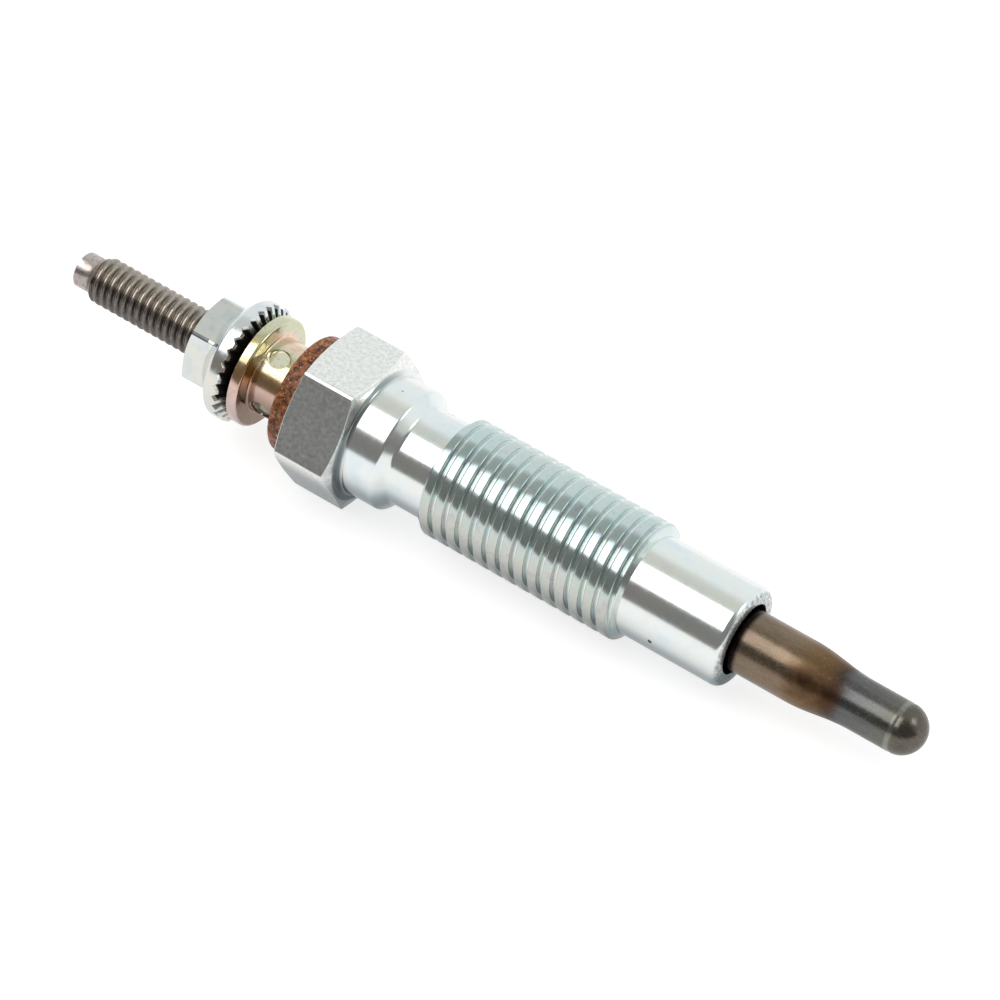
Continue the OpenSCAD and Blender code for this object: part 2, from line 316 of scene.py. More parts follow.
BODY_THREAD = {
    "pitch": 1.25 * MM,
    "crest": 0.72 * MM,
    "root": 0.16 * MM,
    "depth": 0.46 * MM,
    "soften": 0.08 * MM,
}
THREAD_PHASE = 0.24 * MM
THREAD_BEVEL = 0.3 * MM
BARREL_EDGE = 0.6 * MM
MOUTH_R = 2.95 * MM
MOUTH_EDGE = 0.1 * MM
MOUTH = FACE - 6 * MM
GRIP = MOUTH - 10 * MM
SHEATH_R = SHEATH_HI.y
ROD_BORE_R = 2.8 * MM
BUSH_PLUG = 1.9 * MM
SEAL_ROOM = 1.4 * MM
SEAL_R = 3.95 * MM
SEAL = HEX_BACK + BUSH_PLUG + SEAL_ROOM
LAND = 0.02 * MM


def metal_shell(material):
    """The shell, turned from neck to hexagon, through the bore and over the barrel to its wound thread."""
    piece = start_ring("shell", THREAD - LAND, NECK_R)
    draw_out((THREAD - LAND, NECK_R), [
        (NECK, NECK_R),
        (SEAT, COLLAR_R),
        (HEX_FRONT, COLLAR_R),
        (HEX_FRONT, HEX_FACE_R),
        (HEX_FRONT - HEX_DROP, HEX_CORNER_R),
        (HEX_BACK + HEX_DROP, HEX_CORNER_R),
        (HEX_BACK, HEX_FACE_R),
        (HEX_BACK, SEAL_R),
        (SEAL, SEAL_R),
        (SEAL + SEAL_R - ROD_BORE_R, ROD_BORE_R),
        (GRIP, ROD_BORE_R),
        (GRIP, SHEATH_R),
        (MOUTH, SHEATH_R),
        (MOUTH, MOUTH_R),
        (FACE, MOUTH_R),
        (FACE, BARREL_R),
        (BARREL + LAND, BARREL_R),
    ])
    close_mesh()
    cut_flats(HEX_FLATS, HEX_TURN)
    soften_flats(HEX_FLATS, HEX_TURN, HEX_EDGE)
    round_ring(FACE, BARREL_R, BARREL_EDGE, 6)
    round_ring(FACE, MOUTH_R, MOUTH_EDGE, 2)
    round_ring(SEAT, COLLAR_R, SEAT_EDGE, 3)
    round_ring(NECK, NECK_R, NECK_FILLET, 3)
    round_ring(HEX_FRONT, COLLAR_R, COLLAR_FILLET, 5)
    join_thread(piece, shell_thread(), (THREAD, BARREL), LAND)
    finish_piece(piece, "metal_shell", material)


def shell_thread():
    """The shell's rolled thread, with a chamfer at each end."""
    pitch = BODY_THREAD["pitch"]
    turns = math.ceil((BARREL - THREAD) / pitch) + 2
    start = THREAD_PHASE + THREAD - 1.5 * pitch
    thread = wind_thread("shell thread", start, THREAD_R, BODY_THREAD, turns, SIDES)
    back_slope = (THREAD_R - NECK_R) / THREAD_BEVEL
    front_slope = (THREAD_R - BARREL_R) / THREAD_BEVEL
    trim_thread(
        thread,
        lambda x: min(NECK_R + (x - THREAD) * back_slope, BARREL_R + (BARREL - x) * front_slope),
    )
    square_ends(THREAD, BARREL)
    return thread


# The rod

ROD_R = MOUNTS["terminal_thread"]["dims"]["r_mm"] * MM
DOG_END = ROD_LO.x
DOG_R = 1.5 * MM
DOG_SHOULDER = DOG_END + 1.5 * MM
DOG_EDGE = 0.15 * MM
TERMINAL_CHAMFER = 0.6 * MM
TERMINAL_THREAD = {
    "pitch": 0.7 * MM,
    "crest": 0.18 * MM,
    "root": 0.1 * MM,
    "depth": 0.32 * MM,
    "soften": 0.05 * MM,
}
TERMINAL_END = RING_LO.x + 2 * MM
TERMINAL_ROOT_R = ROD_R - TERMINAL_THREAD["depth"] - 0.01 * MM
TERMINAL_SIDES = 64
RUN_OUT = 0.3 * MM
SHANK = SEAL + SEAL_R - ROD_BORE_R
SHANK_R = 1.5 * MM
SPIGOT_R = 0.73 * MM
SPIGOT_END = ROD_HI.x
SPIGOT = SPIGOT_END - 2.5 * MM
SLOT_WIDTH = 0.6 * MM
SLOT_DEPTH = 0.8 * MM
SLOT_TURN = 119


def centre_rod(material):
    """The rod: slotted dog point, terminal thread, shank and the end that carries the coils."""
    start = (TERMINAL_END + LAND, TERMINAL_ROOT_R)
    piece = start_ring("rod", *start, TERMINAL_SIDES)
    draw_out(start, [
        (TERMINAL_END + RUN_OUT, ROD_R),
        (SHANK, ROD_R),
        (SHANK + ROD_R - SHANK_R, SHANK_R),
        (SPIGOT, SHANK_R),
        (SPIGOT, SPIGOT_R),
        (SPIGOT_END, SPIGOT_R),
    ])
    bpy.ops.mesh.edge_face_add()
    join_thread(piece, terminal_thread(), (TERMINAL_END,), LAND)
    pick(lambda x, r: abs(x - DOG_SHOULDER) < SAME, open_only=True)
    draw_out((DOG_SHOULDER, DOG_R), [
        (DOG_END + DOG_EDGE, DOG_R),
        (DOG_END, DOG_R - DOG_EDGE),
    ])
    bpy.ops.mesh.edge_face_add()
    close_mesh()
    combine(piece, slot_cutter(), "DIFFERENCE")
    finish_piece(piece, "centre_rod", material, 40)


def terminal_thread():
    """The rod's thread, chamfered to the dog point and run out under the pressing ring."""
    pitch = TERMINAL_THREAD["pitch"]
    turns = math.ceil((TERMINAL_END - DOG_SHOULDER) / pitch) + 2
    start = DOG_SHOULDER - 1.5 * pitch
    thread = wind_thread("rod thread", start, ROD_R, TERMINAL_THREAD, turns, TERMINAL_SIDES)
    slope = (ROD_R - DOG_R) / TERMINAL_CHAMFER
    trim_thread(
        thread,
        lambda x: min(DOG_R + (x - DOG_SHOULDER) * slope, TERMINAL_ROOT_R + TERMINAL_END - x),
    )
    square_ends(DOG_SHOULDER, TERMINAL_END)
    return thread


def slot_cutter():
    """The blade that cuts the slot across the dog point."""
    clear_selection()
    bpy.ops.mesh.primitive_cube_add(size=1, location=(DOG_END, 0, 0))
    blade = name_piece("slot blade")
    bpy.ops.transform.resize(value=(2 * SLOT_DEPTH, 4 * DOG_R, SLOT_WIDTH), center_override=(DOG_END, 0, 0))
    bpy.ops.object.mode_set(mode="OBJECT")
    blade.data.transform(Matrix.Rotation(math.radians(SLOT_TURN), 4, "X"))
    return blade


# The terminal nut

NUT_BACK = NUT_LO.x
NUT_FRONT = NUT_HI.x
NUT_FLATS = 7 * MM
NUT_TURN = 44
NUT_EDGE = 0.008 * MM
NUT_CORNER_R = 3.975 * MM
NUT_FACE_R = 3.35 * MM
NUT_CHAMFER = math.radians(25)
NUT_DROP = (NUT_CORNER_R - NUT_FACE_R) * math.tan(NUT_CHAMFER)
NUT_HOLE_R = ROD_R + 0.02 * MM
NUT_SINK = 0.2 * MM
FLANGE_R = NUT_HI.y
FLANGE_EDGE = 0.2 * MM
CROWN_R = 4.2 * MM
CROWN_HEIGHT = 0.5 * MM
RIM = 1.1 * MM
RIM_FRONT = NUT_FRONT - CROWN_HEIGHT
RIM_BACK = RIM_FRONT - RIM
SKIRT_R = 3.4 * MM
SKIRT_BACK = RIM_BACK - 1.4 * MM
TEETH = 30
TOOTH_SIDES = 6
NOTCH_DEPTH = 0.28 * MM
CROWN_SLOPE = math.atan2(CROWN_HEIGHT, FLANGE_R - CROWN_R)
NOTCH_RIM = NOTCH_DEPTH / math.cos(CROWN_SLOPE)
NOTCH_IN = NOTCH_DEPTH * math.sin(CROWN_SLOPE)
NOTCH_BACK = NOTCH_DEPTH * math.cos(CROWN_SLOPE)
NOTCH_END_R = CROWN_R - NOTCH_DEPTH / math.sin(CROWN_SLOPE)


def terminal_nut(material):
    """The flange nut: a chamfered hexagon on a conical skirt, with a toothed crown on its bearing face."""
    piece = start_ring("nut", NUT_BACK, NUT_FACE_R, solid=True)
    draw_out((NUT_BACK, NUT_FACE_R), [
        (NUT_BACK + NUT_DROP, NUT_CORNER_R),
        (RIM_BACK, NUT_CORNER_R),
    ])
    close_mesh()
    cut_flats(NUT_FLATS, NUT_TURN)
    soften_flats(NUT_FLATS, NUT_TURN, NUT_EDGE)
    close_mesh()
    combine(piece, nut_flange(), "UNION")
    combine(piece, nut_drill(), "DIFFERENCE")
    finish_piece(piece, "terminal_nut", material)


def nut_drill():
    """The drill for the nut's hole, with a countersink at its back."""
    start = NUT_BACK - MM
    drill = start_ring("nut drill", start, NUT_HOLE_R + MM, solid=True)
    draw_out((start, NUT_HOLE_R + MM), [
        (NUT_BACK, NUT_HOLE_R + NUT_SINK),
        (NUT_BACK + NUT_SINK, NUT_HOLE_R),
        (NUT_FRONT + MM, NUT_HOLE_R),
    ])
    close_mesh()
    bpy.ops.object.mode_set(mode="OBJECT")
    return drill


def nut_flange():
    """The nut's skirt and rim, with V notches pressed down the slope of the crown."""
    flange = start_ring("nut flange", SKIRT_BACK, SKIRT_R, TEETH * TOOTH_SIDES, solid=True)
    draw_out((SKIRT_BACK, SKIRT_R), [
        (RIM_BACK, FLANGE_R),
        (RIM_FRONT, FLANGE_R),
        (NUT_FRONT, CROWN_R),
        (NUT_FRONT, NOTCH_END_R),
    ])
    close_mesh()
    half_end_r = (CROWN_R + NOTCH_END_R) / 2
    press_columns(0, RIM_FRONT, FLANGE_R, -NOTCH_RIM, FLANGE_R)
    press_columns(0, NUT_FRONT, CROWN_R, -NOTCH_BACK, CROWN_R - NOTCH_IN)
    for side in (1, -1):
        press_columns(side, RIM_FRONT, FLANGE_R, -NOTCH_RIM / 2, FLANGE_R)
        press_columns(side, NUT_FRONT, CROWN_R, -NOTCH_BACK / 2, CROWN_R - NOTCH_IN / 2)
        press_columns(side, NUT_FRONT, NOTCH_END_R, 0, half_end_r)
    round_ring(RIM_BACK, FLANGE_R, FLANGE_EDGE, 4)
    bpy.ops.object.mode_set(mode="OBJECT")
    return flange


def press_columns(column, station, radius, along, to_radius):
    """Move one point of every tooth, in one column of its sides, along the plug and to another radius."""
    tooth = 2 * math.pi / TEETH
    step = tooth / TOOTH_SIDES
    mesh = look_over("VERT")
    for vertex in mesh.verts:
        at_ring = abs(vertex.co.x - station) < 2 * SAME
        at_ring = at_ring and abs(math.hypot(vertex.co.y, vertex.co.z) - radius) < 4 * SAME
        place = (math.atan2(vertex.co.z, vertex.co.y) / step) % TOOTH_SIDES
        if at_ring and abs(((place - column + TOOTH_SIDES / 2) % TOOTH_SIDES) - TOOTH_SIDES / 2) < 0.1:
            vertex.select_set(True)
    bmesh.update_edit_mesh(bpy.context.object.data)
    ratio = to_radius / radius
    bpy.ops.transform.translate(value=(along, 0, 0))
    bpy.ops.transform.resize(value=(1, ratio, ratio), center_override=(0, 0, 0))


# The pressing ring

RING_BACK = RING_LO.x
RING_FRONT = RING_HI.x
RING_R = RING_HI.y
RING_FLANGE_FRONT = RING_BACK + 0.95 * MM
RING_EDGE = 0.2 * MM
RING_WAIST_R = 3.2 * MM
RING_HOLE_R = ROD_R + 0.03 * MM
CRIMPS = 4
CRIMP_TURN = 17
CRIMP_R = 1.0 * MM
CRIMP_FLOOR_R = 0.8 * MM
CRIMP_DEPTH = 0.3 * MM
CRIMP_STATION = RING_FLANGE_FRONT + 1.25 * MM
PUNCH_SIDES = 48


def pressing_ring(material):
    """The ring crimped on the rod: a flange, a waist and four round punch marks."""
    start = (RING_BACK, RING_HOLE_R)
    piece = start_ring("ring", *start)
    draw_out(start, [
        (RING_BACK, RING_R),
        (RING_FLANGE_FRONT, RING_R),
        (RING_FLANGE_FRONT, RING_WAIST_R),
        (RING_FRONT, RING_WAIST_R),
        (RING_FRONT, RING_HOLE_R),
        start,
    ])
    close_mesh()
    round_ring(RING_BACK, RING_R, RING_EDGE / 2, 3)
    round_ring(RING_FLANGE_FRONT, RING_R, RING_EDGE, 5)
    round_ring(RING_FLANGE_FRONT, RING_WAIST_R, RING_EDGE, 5)
    close_mesh()
    for mark in range(CRIMPS):
        combine(piece, crimp_punch(CRIMP_TURN + 360 * mark / CRIMPS), "DIFFERENCE")
    finish_piece(piece, "pressing_ring", material)


def crimp_punch(turn):
    """The punch that leaves one mark: a flat nose, a steep wall and a soft lip at the surface."""
    clear_selection()
    nose = RING_WAIST_R - CRIMP_DEPTH
    bpy.ops.mesh.primitive_circle_add(
        vertices=PUNCH_SIDES,
        radius=CRIMP_FLOOR_R,
        fill_type="NGON",
        location=(CRIMP_STATION, nose, 0),
        rotation=(-math.pi / 2, 0, 0),
    )
    punch = name_piece("crimp punch")
    place, radius = nose, CRIMP_FLOOR_R
    lip = CRIMP_R - CRIMP_FLOOR_R
    for next_place, next_radius in (
        (nose + 0.08 * MM, CRIMP_FLOOR_R + 0.06 * MM),
        (nose + 0.22 * MM, CRIMP_FLOOR_R + 0.5 * lip),
        (nose + 0.30 * MM, CRIMP_R),
        (nose + 0.34 * MM, CRIMP_R + 0.5 * lip),
        (nose + MM, CRIMP_R + 0.6 * lip),
    ):
        bpy.ops.mesh.extrude_region_move(TRANSFORM_OT_translate={"value": (0, next_place - place, 0)})
        ratio = next_radius / radius
        bpy.ops.transform.resize(value=(ratio, 1, ratio), center_override=(CRIMP_STATION, next_place, 0))
        place, radius = next_place, next_radius
    close_mesh()
    bpy.ops.object.mode_set(mode="OBJECT")
    punch.data.transform(Matrix.Rotation(math.radians(turn), 4, "X"))
    return punch


# The insulating bush and the sheath

BUSH_BACK = BUSH_LO.x
BUSH_R = BUSH_HI.y
BUSH_EDGE = 0.35 * MM
BUSH_PLUG_R = SEAL_R - 0.05 * MM


def insulating_bush(material):
    """The moulded bush between the rod and the shell."""
    start = (BUSH_BACK, RING_HOLE_R)
    piece = start_ring("bush", *start)
    draw_out(start, [
        (BUSH_BACK, BUSH_R),
        (HEX_BACK, BUSH_R),
        (HEX_BACK, BUSH_PLUG_R),
        (BUSH_HI.x, BUSH_PLUG_R),
        (BUSH_HI.x, RING_HOLE_R),
        start,
    ])
    close_mesh()
    round_ring(BUSH_BACK, BUSH_R, BUSH_EDGE, 5)
    close_mesh()
    finish_piece(piece, "insulating_bush", material)


SHEATH_BACK = SHEATH_LO.x
SHEATH_END = SHEATH_HI.x
SHEATH_WALL = 0.6 * MM
TAPER = FACE + 5.9 * MM
TIP = TAPER + 3.4 * MM
TIP_R = 2.05 * MM
SWAGE_BEND = 0.9 * MM
TIP_FLOOR = SHEATH_END - 1.6 * MM
DOME = SHEATH_END - TIP_R
DOME_RINGS = 14
WELD = 0.03 * MM


def sheath_tube(material):
    """The heater's tube: swaged down to a thinner tip and closed by a round welded end."""
    start = (SHEATH_BACK, SHEATH_R - SHEATH_WALL)
    piece = start_ring("sheath", *start)
    bend = [math.pi / 2 * ring / DOME_RINGS for ring in range(1, DOME_RINGS)]
    dome = [(DOME + TIP_R * math.sin(angle), TIP_R * math.cos(angle)) for angle in bend]
    draw_out(start, [
        (SHEATH_BACK, SHEATH_R),
        (TAPER, SHEATH_R),
        (TIP, TIP_R),
        (DOME - 12 * WELD, TIP_R),
        (DOME - 5 * WELD, TIP_R),
        (DOME - 2 * WELD, TIP_R - WELD),
        (DOME + 2 * WELD, TIP_R - WELD),
        *dome,
        (SHEATH_END, 0),
    ])
    pick_ring(*start)
    draw_out(start, [
        (TAPER, SHEATH_R - SHEATH_WALL),
        (TIP, TIP_R - SHEATH_WALL),
        (TIP_FLOOR, TIP_R - SHEATH_WALL),
        (TIP_FLOOR, 0),
    ])
    close_mesh()
    round_ring(TAPER, SHEATH_R, SWAGE_BEND, 4)
    round_ring(TIP, TIP_R, SWAGE_BEND, 4)
    close_mesh()
    finish_piece(piece, "sheath_tube", material)


# Finishes: small helpers

def add(tree, kind, inputs=None, **settings):
    """Add a shader node with its settings, and set or link its inputs."""
    item = tree.nodes.new(kind)
    for key, value in settings.items():
        setattr(item, key, value)
    for key, value in (inputs or {}).items():
        if isinstance(value, bpy.types.NodeSocket):
            tree.links.new(value, item.inputs[key])
        else:
            item.inputs[key].default_value = value
    return item


def fade(tree, value, low, high, to_low=0.0, to_high=1.0):
    """A value that runs smoothly from one level to another while the given one runs from low to high."""
    inputs = {"Value": value, "From Min": low, "From Max": high, "To Min": to_low, "To Max": to_high}
    return add(tree, "ShaderNodeMapRange", inputs, interpolation_type="SMOOTHSTEP").outputs["Result"]


def fade_straight(tree, value, low, high):
    """The share that a value has run of the way from low to high."""
    inputs = {"Value": value, "From Min": low, "From Max": high}
    return add(tree, "ShaderNodeMapRange", inputs).outputs["Result"]


def times(tree, first, *others):
    """The product of two or more values."""
    for other in others:
        first = add(tree, "ShaderNodeMath", {0: first, 1: other}, operation="MULTIPLY").outputs[0]
    return first


def between(tree, value, rise, fall):
    """One between two limits and nought outside them, each limit a pair of levels to fade across."""
    return times(tree, fade(tree, value, *rise), fade(tree, value, *fall))


def plus(tree, first, second):
    """The sum of two values."""
    return add(tree, "ShaderNodeMath", {0: first, 1: second}, operation="ADD").outputs[0]


def blend(tree, share, first, second, kind="MIX"):
    """One colour laid over another by a share."""
    mixer = add(tree, "ShaderNodeMix", data_type="RGBA", blend_type=kind)
    sockets = (mixer.inputs["Factor"], mixer.inputs[6], mixer.inputs[7])
    for socket, value in zip(sockets, (share, first, second)):
        if isinstance(value, bpy.types.NodeSocket):
            tree.links.new(value, socket)
        elif isinstance(value, tuple):
            socket.default_value = (*value, 1)
        else:
            socket.default_value = value
    return mixer.outputs[2]


def ramp(tree, value, stops):
    """A run of colours along a value."""
    scale = add(tree, "ShaderNodeValToRGB", {"Fac": value})
    elements = scale.color_ramp.elements
    while len(elements) < len(stops):
        elements.new(0.5)
    for element, (place, colour) in zip(elements, stops):
        element.position = place
        element.color = (*colour, 1)
    return scale.outputs["Color"]


def noise(tree, vector, scale, detail=3.0, roughness=0.55):
    """Soft random patches, as many to the metre as the scale says."""
    inputs = {"Vector": vector, "Scale": scale, "Detail": detail, "Roughness": roughness}
    return add(tree, "ShaderNodeTexNoise", inputs).outputs["Fac"]


def stretched(tree, vector, along, round_axis):
    """Coordinates stretched along and across the plug, for lines in one direction."""
    inputs = {0: vector, 1: (along, round_axis, round_axis)}
    return add(tree, "ShaderNodeVectorMath", inputs, operation="MULTIPLY").outputs["Vector"]


def new_group(name, outputs, inputs=()):
    """An empty shader node group that takes coordinates and the named inputs, and gives the outputs."""
    group = bpy.data.node_groups.new(name, "ShaderNodeTree")
    for label, kind in (("Vector", "NodeSocketVector"), *inputs):
        group.interface.new_socket(name=label, in_out="INPUT", socket_type=kind)
    for label, kind in outputs:
        group.interface.new_socket(name=label, in_out="OUTPUT", socket_type=kind)
    return group, group.nodes.new("NodeGroupInput").outputs, group.nodes.new("NodeGroupOutput").inputs


def place_on_plug():
    """Group: how far along the plug and how far from its axis a point is, in millimetres."""
    group, given, result = new_group(
        "place on plug",
        [("Station", "NodeSocketFloat"), ("Radius", "NodeSocketFloat")],
    )
    scaled = {0: given["Vector"], "Scale": 1 / MM}
    in_mm = add(group, "ShaderNodeVectorMath", scaled, operation="SCALE").outputs[0]
    parts = add(group, "ShaderNodeSeparateXYZ", {0: in_mm}).outputs
    across = add(group, "ShaderNodeCombineXYZ", {"Y": parts["Y"], "Z": parts["Z"]}).outputs[0]
    radius = add(group, "ShaderNodeVectorMath", {0: across}, operation="LENGTH").outputs["Value"]
    group.links.new(parts["X"], result["Station"])
    group.links.new(radius, result["Radius"])
    return group


def plating_mottle():
    """Group: the faint blue, green and grey clouds of a zinc plate, and its uneven haze."""
    group, given, result = new_group(
        "plating mottle",
        [("Tint", "NodeSocketColor"), ("Haze", "NodeSocketFloat")],
    )
    clouds = noise(group, given["Vector"], 420)
    tint = ramp(group, clouds, [
        (0.32, (0.74, 0.83, 0.86)),
        (0.46, (0.82, 0.86, 0.87)),
        (0.56, (0.84, 0.87, 0.84)),
        (0.68, (0.82, 0.82, 0.85)),
    ])
    haze = noise(group, given["Vector"], 2600, 4)
    group.links.new(tint, result["Tint"])
    group.links.new(haze, result["Haze"])
    return group


def turning_lines():
    """Group: the fine lines that a turning tool leaves round the plug."""
    group, given, result = new_group("turning lines", [("Height", "NodeSocketFloat")])
    lines = noise(group, stretched(group, given["Vector"], 7000, 60), 1, 4)
    group.links.new(lines, result["Height"])
    return group


def pit_mark():
    """Group: one small ragged pit at a place on the surface."""
    group, given, result = new_group(
        "pit mark",
        [("Mask", "NodeSocketFloat")],
        [("Middle", "NodeSocketVector"), ("Size", "NodeSocketFloat")],
    )
    ends = {0: given["Vector"], 1: given["Middle"]}
    away = add(group, "ShaderNodeVectorMath", ends, operation="DISTANCE").outputs["Value"]
    share = add(group, "ShaderNodeMath", {0: away, 1: given["Size"]}, operation="DIVIDE").outputs[0]
    ragged = plus(group, share, noise(group, given["Vector"], 6000))
    group.links.new(fade(group, ragged, 1.5, 1.1), result["Mask"])
    return group


GROUPS = {
    "place": place_on_plug(),
    "mottle": plating_mottle(),
    "lines": turning_lines(),
    "pit": pit_mark(),
}


def use_group(tree, name, vector, **inputs):
    """Put one of the shared groups into a material."""
    item = add(tree, "ShaderNodeGroup", node_tree=GROUPS[name])
    tree.links.new(vector, item.inputs["Vector"])
    for key, value in inputs.items():
        item.inputs[key].default_value = value
    return item.outputs


def new_finish(name):
    """A new material, its node tree, its shader's inputs and the coordinates on the piece."""
    material = bpy.data.materials.new(name)
    material.use_nodes = True
    tree = material.node_tree
    coords = add(tree, "ShaderNodeTexCoord").outputs["Object"]
    return material, tree, tree.nodes["Principled BSDF"].inputs, coords


def bump(tree, height, depth, normal=None):
    """Bumps of a given depth in metres, over others where there are some."""
    inputs = {"Height": height, "Distance": depth}
    if normal:
        inputs["Normal"] = normal
    return add(tree, "ShaderNodeBump", inputs).outputs["Normal"]


def around(station, radius, turn):
    """A point at a station, radius and turn about the plug's axis."""
    return Vector((station, radius * math.cos(math.radians(turn)), radius * math.sin(math.radians(turn))))


def facing(tree, coords, radius, turn, low, high):
    """How far a point's side of the plug faces a turn about the axis, from low to high in cosines."""
    inputs = {0: coords, 1: around(0, 1 / MM, turn)}
    along = add(tree, "ShaderNodeVectorMath", inputs, operation="DOT_PRODUCT").outputs["Value"]
    cosine = add(tree, "ShaderNodeMath", {0: along, 1: radius}, operation="DIVIDE").outputs[0]
    return fade(tree, cosine, low, high)


def make_metal(tree, shader, colour, rough, normal):
    """Link a metal's colour, roughness and bumps to its shader."""
    tree.links.new(colour, shader["Base Color"])
    tree.links.new(rough, shader["Roughness"])
    tree.links.new(normal, shader["Normal"])
    shader["Metallic"].default_value = 1


# Finishes of the six outer pieces

# Turns about the axis, in degrees from +Y towards +Z, of the sides that tints, marks and painted shade lie
# on
UPPER_TURN = 41
CREST_SHADE_TURN = 107
NUT_CORNER_TURN = 135
CROWN_SHADE_TURN = 143
FILLET_TURN = 145
FRONT_FLAT_TURN = 150
OXIDE_SHADE_TURN = 150
HEX_FRONT_TURN = 212
CROWN_LOWER_TURN = 215
LOWER_TURN = 222
UNDERSIDE_TURN = 225
NUT_LOWER_TURN = 230

# Heights of the fine bumps
SHELL_LINES = 6e-7
HEX_GRAIN = 9e-6
ROD_GRAIN = 3e-6
NUT_GRAIN = 6e-6
RING_LINES = 8e-7
BUSH_GRAIN = 4e-5
SHEATH_GRAIN = 2e-6
INNER_GRAIN = 4e-6

# Places, sizes and strengths of the pits
PITS = [
    (around(25.1 * MM, BARREL_R, 191.5), 0.24 * MM, 1.0),
    (around(2.05 * MM, NECK_R, 51.5), 0.14 * MM, 0.65),
    (around(-1.5 * MM, COLLAR_R, 84), 0.12 * MM, 0.45),
]


def zinc_plate():
    """Bright zinc: cloudy tints, turning lines, a grainy hexagon, a duller thread, a rough end and pits,
    with painted shade on the hexagon's front, round the collar's foot, on the crests at one side and
    towards the bottom.
    """
    material, tree, shader, coords = new_finish("zinc plate")
    station, radius = use_group(tree, "place", coords)
    tint, haze = use_group(tree, "mottle", coords)
    lines = use_group(tree, "lines", coords)["Height"]
    height = add(tree, "ShaderNodeSeparateXYZ", {0: coords}).outputs["Z"]
    collar_r = COLLAR_R / MM
    hexagon = fade(tree, radius, collar_r + 0.35, collar_r + 0.5)
    end_face = fade(tree, station, FACE / MM - 0.25, FACE / MM - 0.05)
    thread = THREAD / MM
    barrel = BARREL / MM
    in_thread = between(tree, station, (thread - 0.05, thread + 0.05), (barrel + 0.05, barrel - 0.05))
    root = fade(tree, radius, THREAD_R / MM - 0.05, THREAD_R / MM - 0.3)
    crest = times(tree, in_thread, fade(tree, root, 0.9, 0.1, 0.25, 0.9))
    lower = fade(tree, height, 3.0 * MM, 0.5 * MM)
    thread_tint = blend(tree, lower, (0.57, 0.66, 0.65), (0.58, 0.57, 0.53))
    colour = blend(tree, crest, tint, thread_tint)
    rainbow = ramp(tree, noise(tree, coords, 1300, 4, 0.65), [
        (0.30, (0.86, 0.84, 0.92)),
        (0.46, (1.0, 1.0, 1.0)),
        (0.58, (0.92, 0.99, 0.97)),
        (0.70, (1.0, 0.97, 0.91)),
    ])
    colour = blend(tree, in_thread, colour, rainbow, "MULTIPLY")
    # painted shade: the thread's crests darkened on one side, where a dark band of the room is reflected
    painted_crest_shade = times(tree, crest, facing(tree, coords, radius, CREST_SHADE_TURN, 0.965, 0.99))
    colour = blend(tree, painted_crest_shade, colour, (0.66, 0.68, 0.71), "MULTIPLY")
    speckle = noise(tree, coords, 3000, 5, 0.75)
    grain = ramp(tree, speckle, [
        (0.3, (0.66, 0.66, 0.64)),
        (0.48, (0.85, 0.85, 0.83)),
        (0.68, (1.0, 1.0, 0.97)),
    ])
    # painted shade: the hexagon's front flat made darker
    painted_front_flat_shade = facing(tree, coords, radius, FRONT_FLAT_TURN, 0.85, 0.88)
    grain = blend(tree, painted_front_flat_shade, grain, (0.80, 0.82, 0.83), "MULTIPLY")
    colour = blend(tree, hexagon, colour, grain)
    hex_front = HEX_FRONT / MM
    # painted shade: a dark line in the fillet at the collar's foot, on one side
    painted_fillet_shade = times(
        tree,
        fade(tree, station, hex_front + 0.5, hex_front + 0.1),
        fade(tree, radius, collar_r + 0.5, collar_r + 0.25),
        facing(tree, coords, radius, FILLET_TURN, -0.2, 0.6),
        0.8,
    )
    colour = blend(tree, painted_fillet_shade, colour, (0.20, 0.23, 0.23))
    # painted shade: the hexagon's front face darkened next to the collar and on its lower side
    painted_front_face_shade = times(
        tree,
        fade(tree, station, hex_front - 0.06, hex_front - 0.01),
        fade(tree, radius, collar_r + 0.02, collar_r + 0.1),
        facing(tree, coords, radius, HEX_FRONT_TURN, 0.0, 0.8),
        0.85,
    )
    colour = blend(tree, painted_front_face_shade, colour, (0.14, 0.17, 0.18))
    wear = fade(tree, add(tree, "ShaderNodeNewGeometry").outputs["Pointiness"], 0.52, 0.58)
    colour = blend(tree, times(tree, wear, hexagon, 0.6), colour, (0.95, 0.95, 0.94))
    scratches = fade(tree, noise(tree, coords, 3600, 5, 0.75), 0.42, 0.6)
    colour = blend(tree, times(tree, end_face, scratches), colour, (0.34, 0.35, 0.36))
    # painted shade: the shell darkens towards the bottom
    painted_shade_below = fade(tree, height, 1.2 * MM, -2.8 * MM)
    colour = blend(tree, painted_shade_below, colour, (0.52, 0.54, 0.55), "MULTIPLY")
    # painted shade: the side facing down and back darkened, less so on the thread
    painted_underside_shade = facing(tree, coords, radius, UNDERSIDE_TURN, 0.74, 1.0)
    painted_underside_shade = times(tree, painted_underside_shade, fade(tree, in_thread, 0, 1, 1, 0.45))
    colour = blend(tree, painted_underside_shade, colour, (0.48, 0.54, 0.57), "MULTIPLY")
    for middle, size, strength in PITS:
        pit = use_group(tree, "pit", coords, Middle=middle, Size=size)["Mask"]
        colour = blend(tree, times(tree, pit, strength), colour, (0.04, 0.04, 0.035))
    rough = fade(tree, haze, 0.3, 0.7, 0.15, 0.19)
    rough = plus(tree, rough, times(tree, hexagon, 0.07))
    rough = plus(tree, rough, times(tree, end_face, 0.25))
    normal = bump(tree, times(tree, lines, fade(tree, hexagon, 1.0, 0.0)), SHELL_LINES)
    normal = bump(tree, times(tree, speckle, hexagon), HEX_GRAIN, normal)
    make_metal(tree, shader, colour, rough, normal)
    return material


